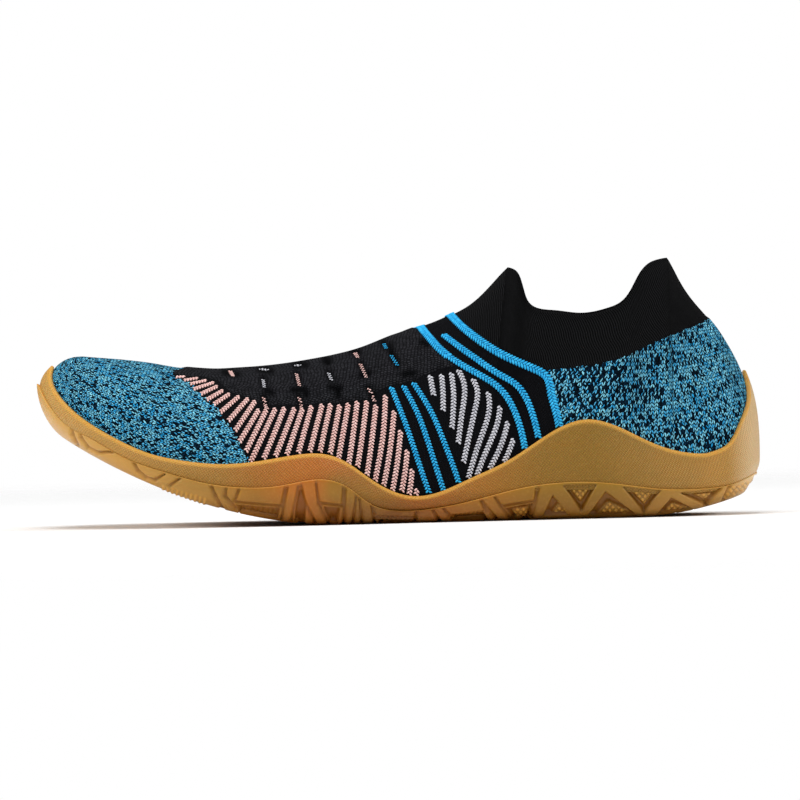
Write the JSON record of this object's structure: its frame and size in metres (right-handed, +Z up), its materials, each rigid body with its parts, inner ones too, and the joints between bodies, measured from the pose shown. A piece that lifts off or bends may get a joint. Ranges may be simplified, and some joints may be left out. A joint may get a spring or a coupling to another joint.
{
  "type": "barefoot shoe",
  "caption": "Low knitted slip-on barefoot shoe with a sock collar on a thin rubber cup sole with a wavy side wall and an upturned toe.",
  "frame": {"origin": "on the floor under the middle of the shoe's bounding box", "axes": "+Z up; the toe points along -X and the heel along +X; the outer (lateral) side of the foot faces -Y, towards the picture's camera"},
  "size_m": [0.28, 0.1056, 0.0994],
  "materials": {
    "gum_rubber": "satin amber gum rubber, finely hatched on the side wall",
    "knit": "matt flat knit: blue and black marl, black instep and collar, pink, blue and white stripes",
    "insole_cloth": "matt cloth-faced foam"
  },
  "bodies": {
    "root": {"outsole": "gum_rubber", "upper": "knit", "insole": "insole_cloth"}
  },
  "joints": []
}
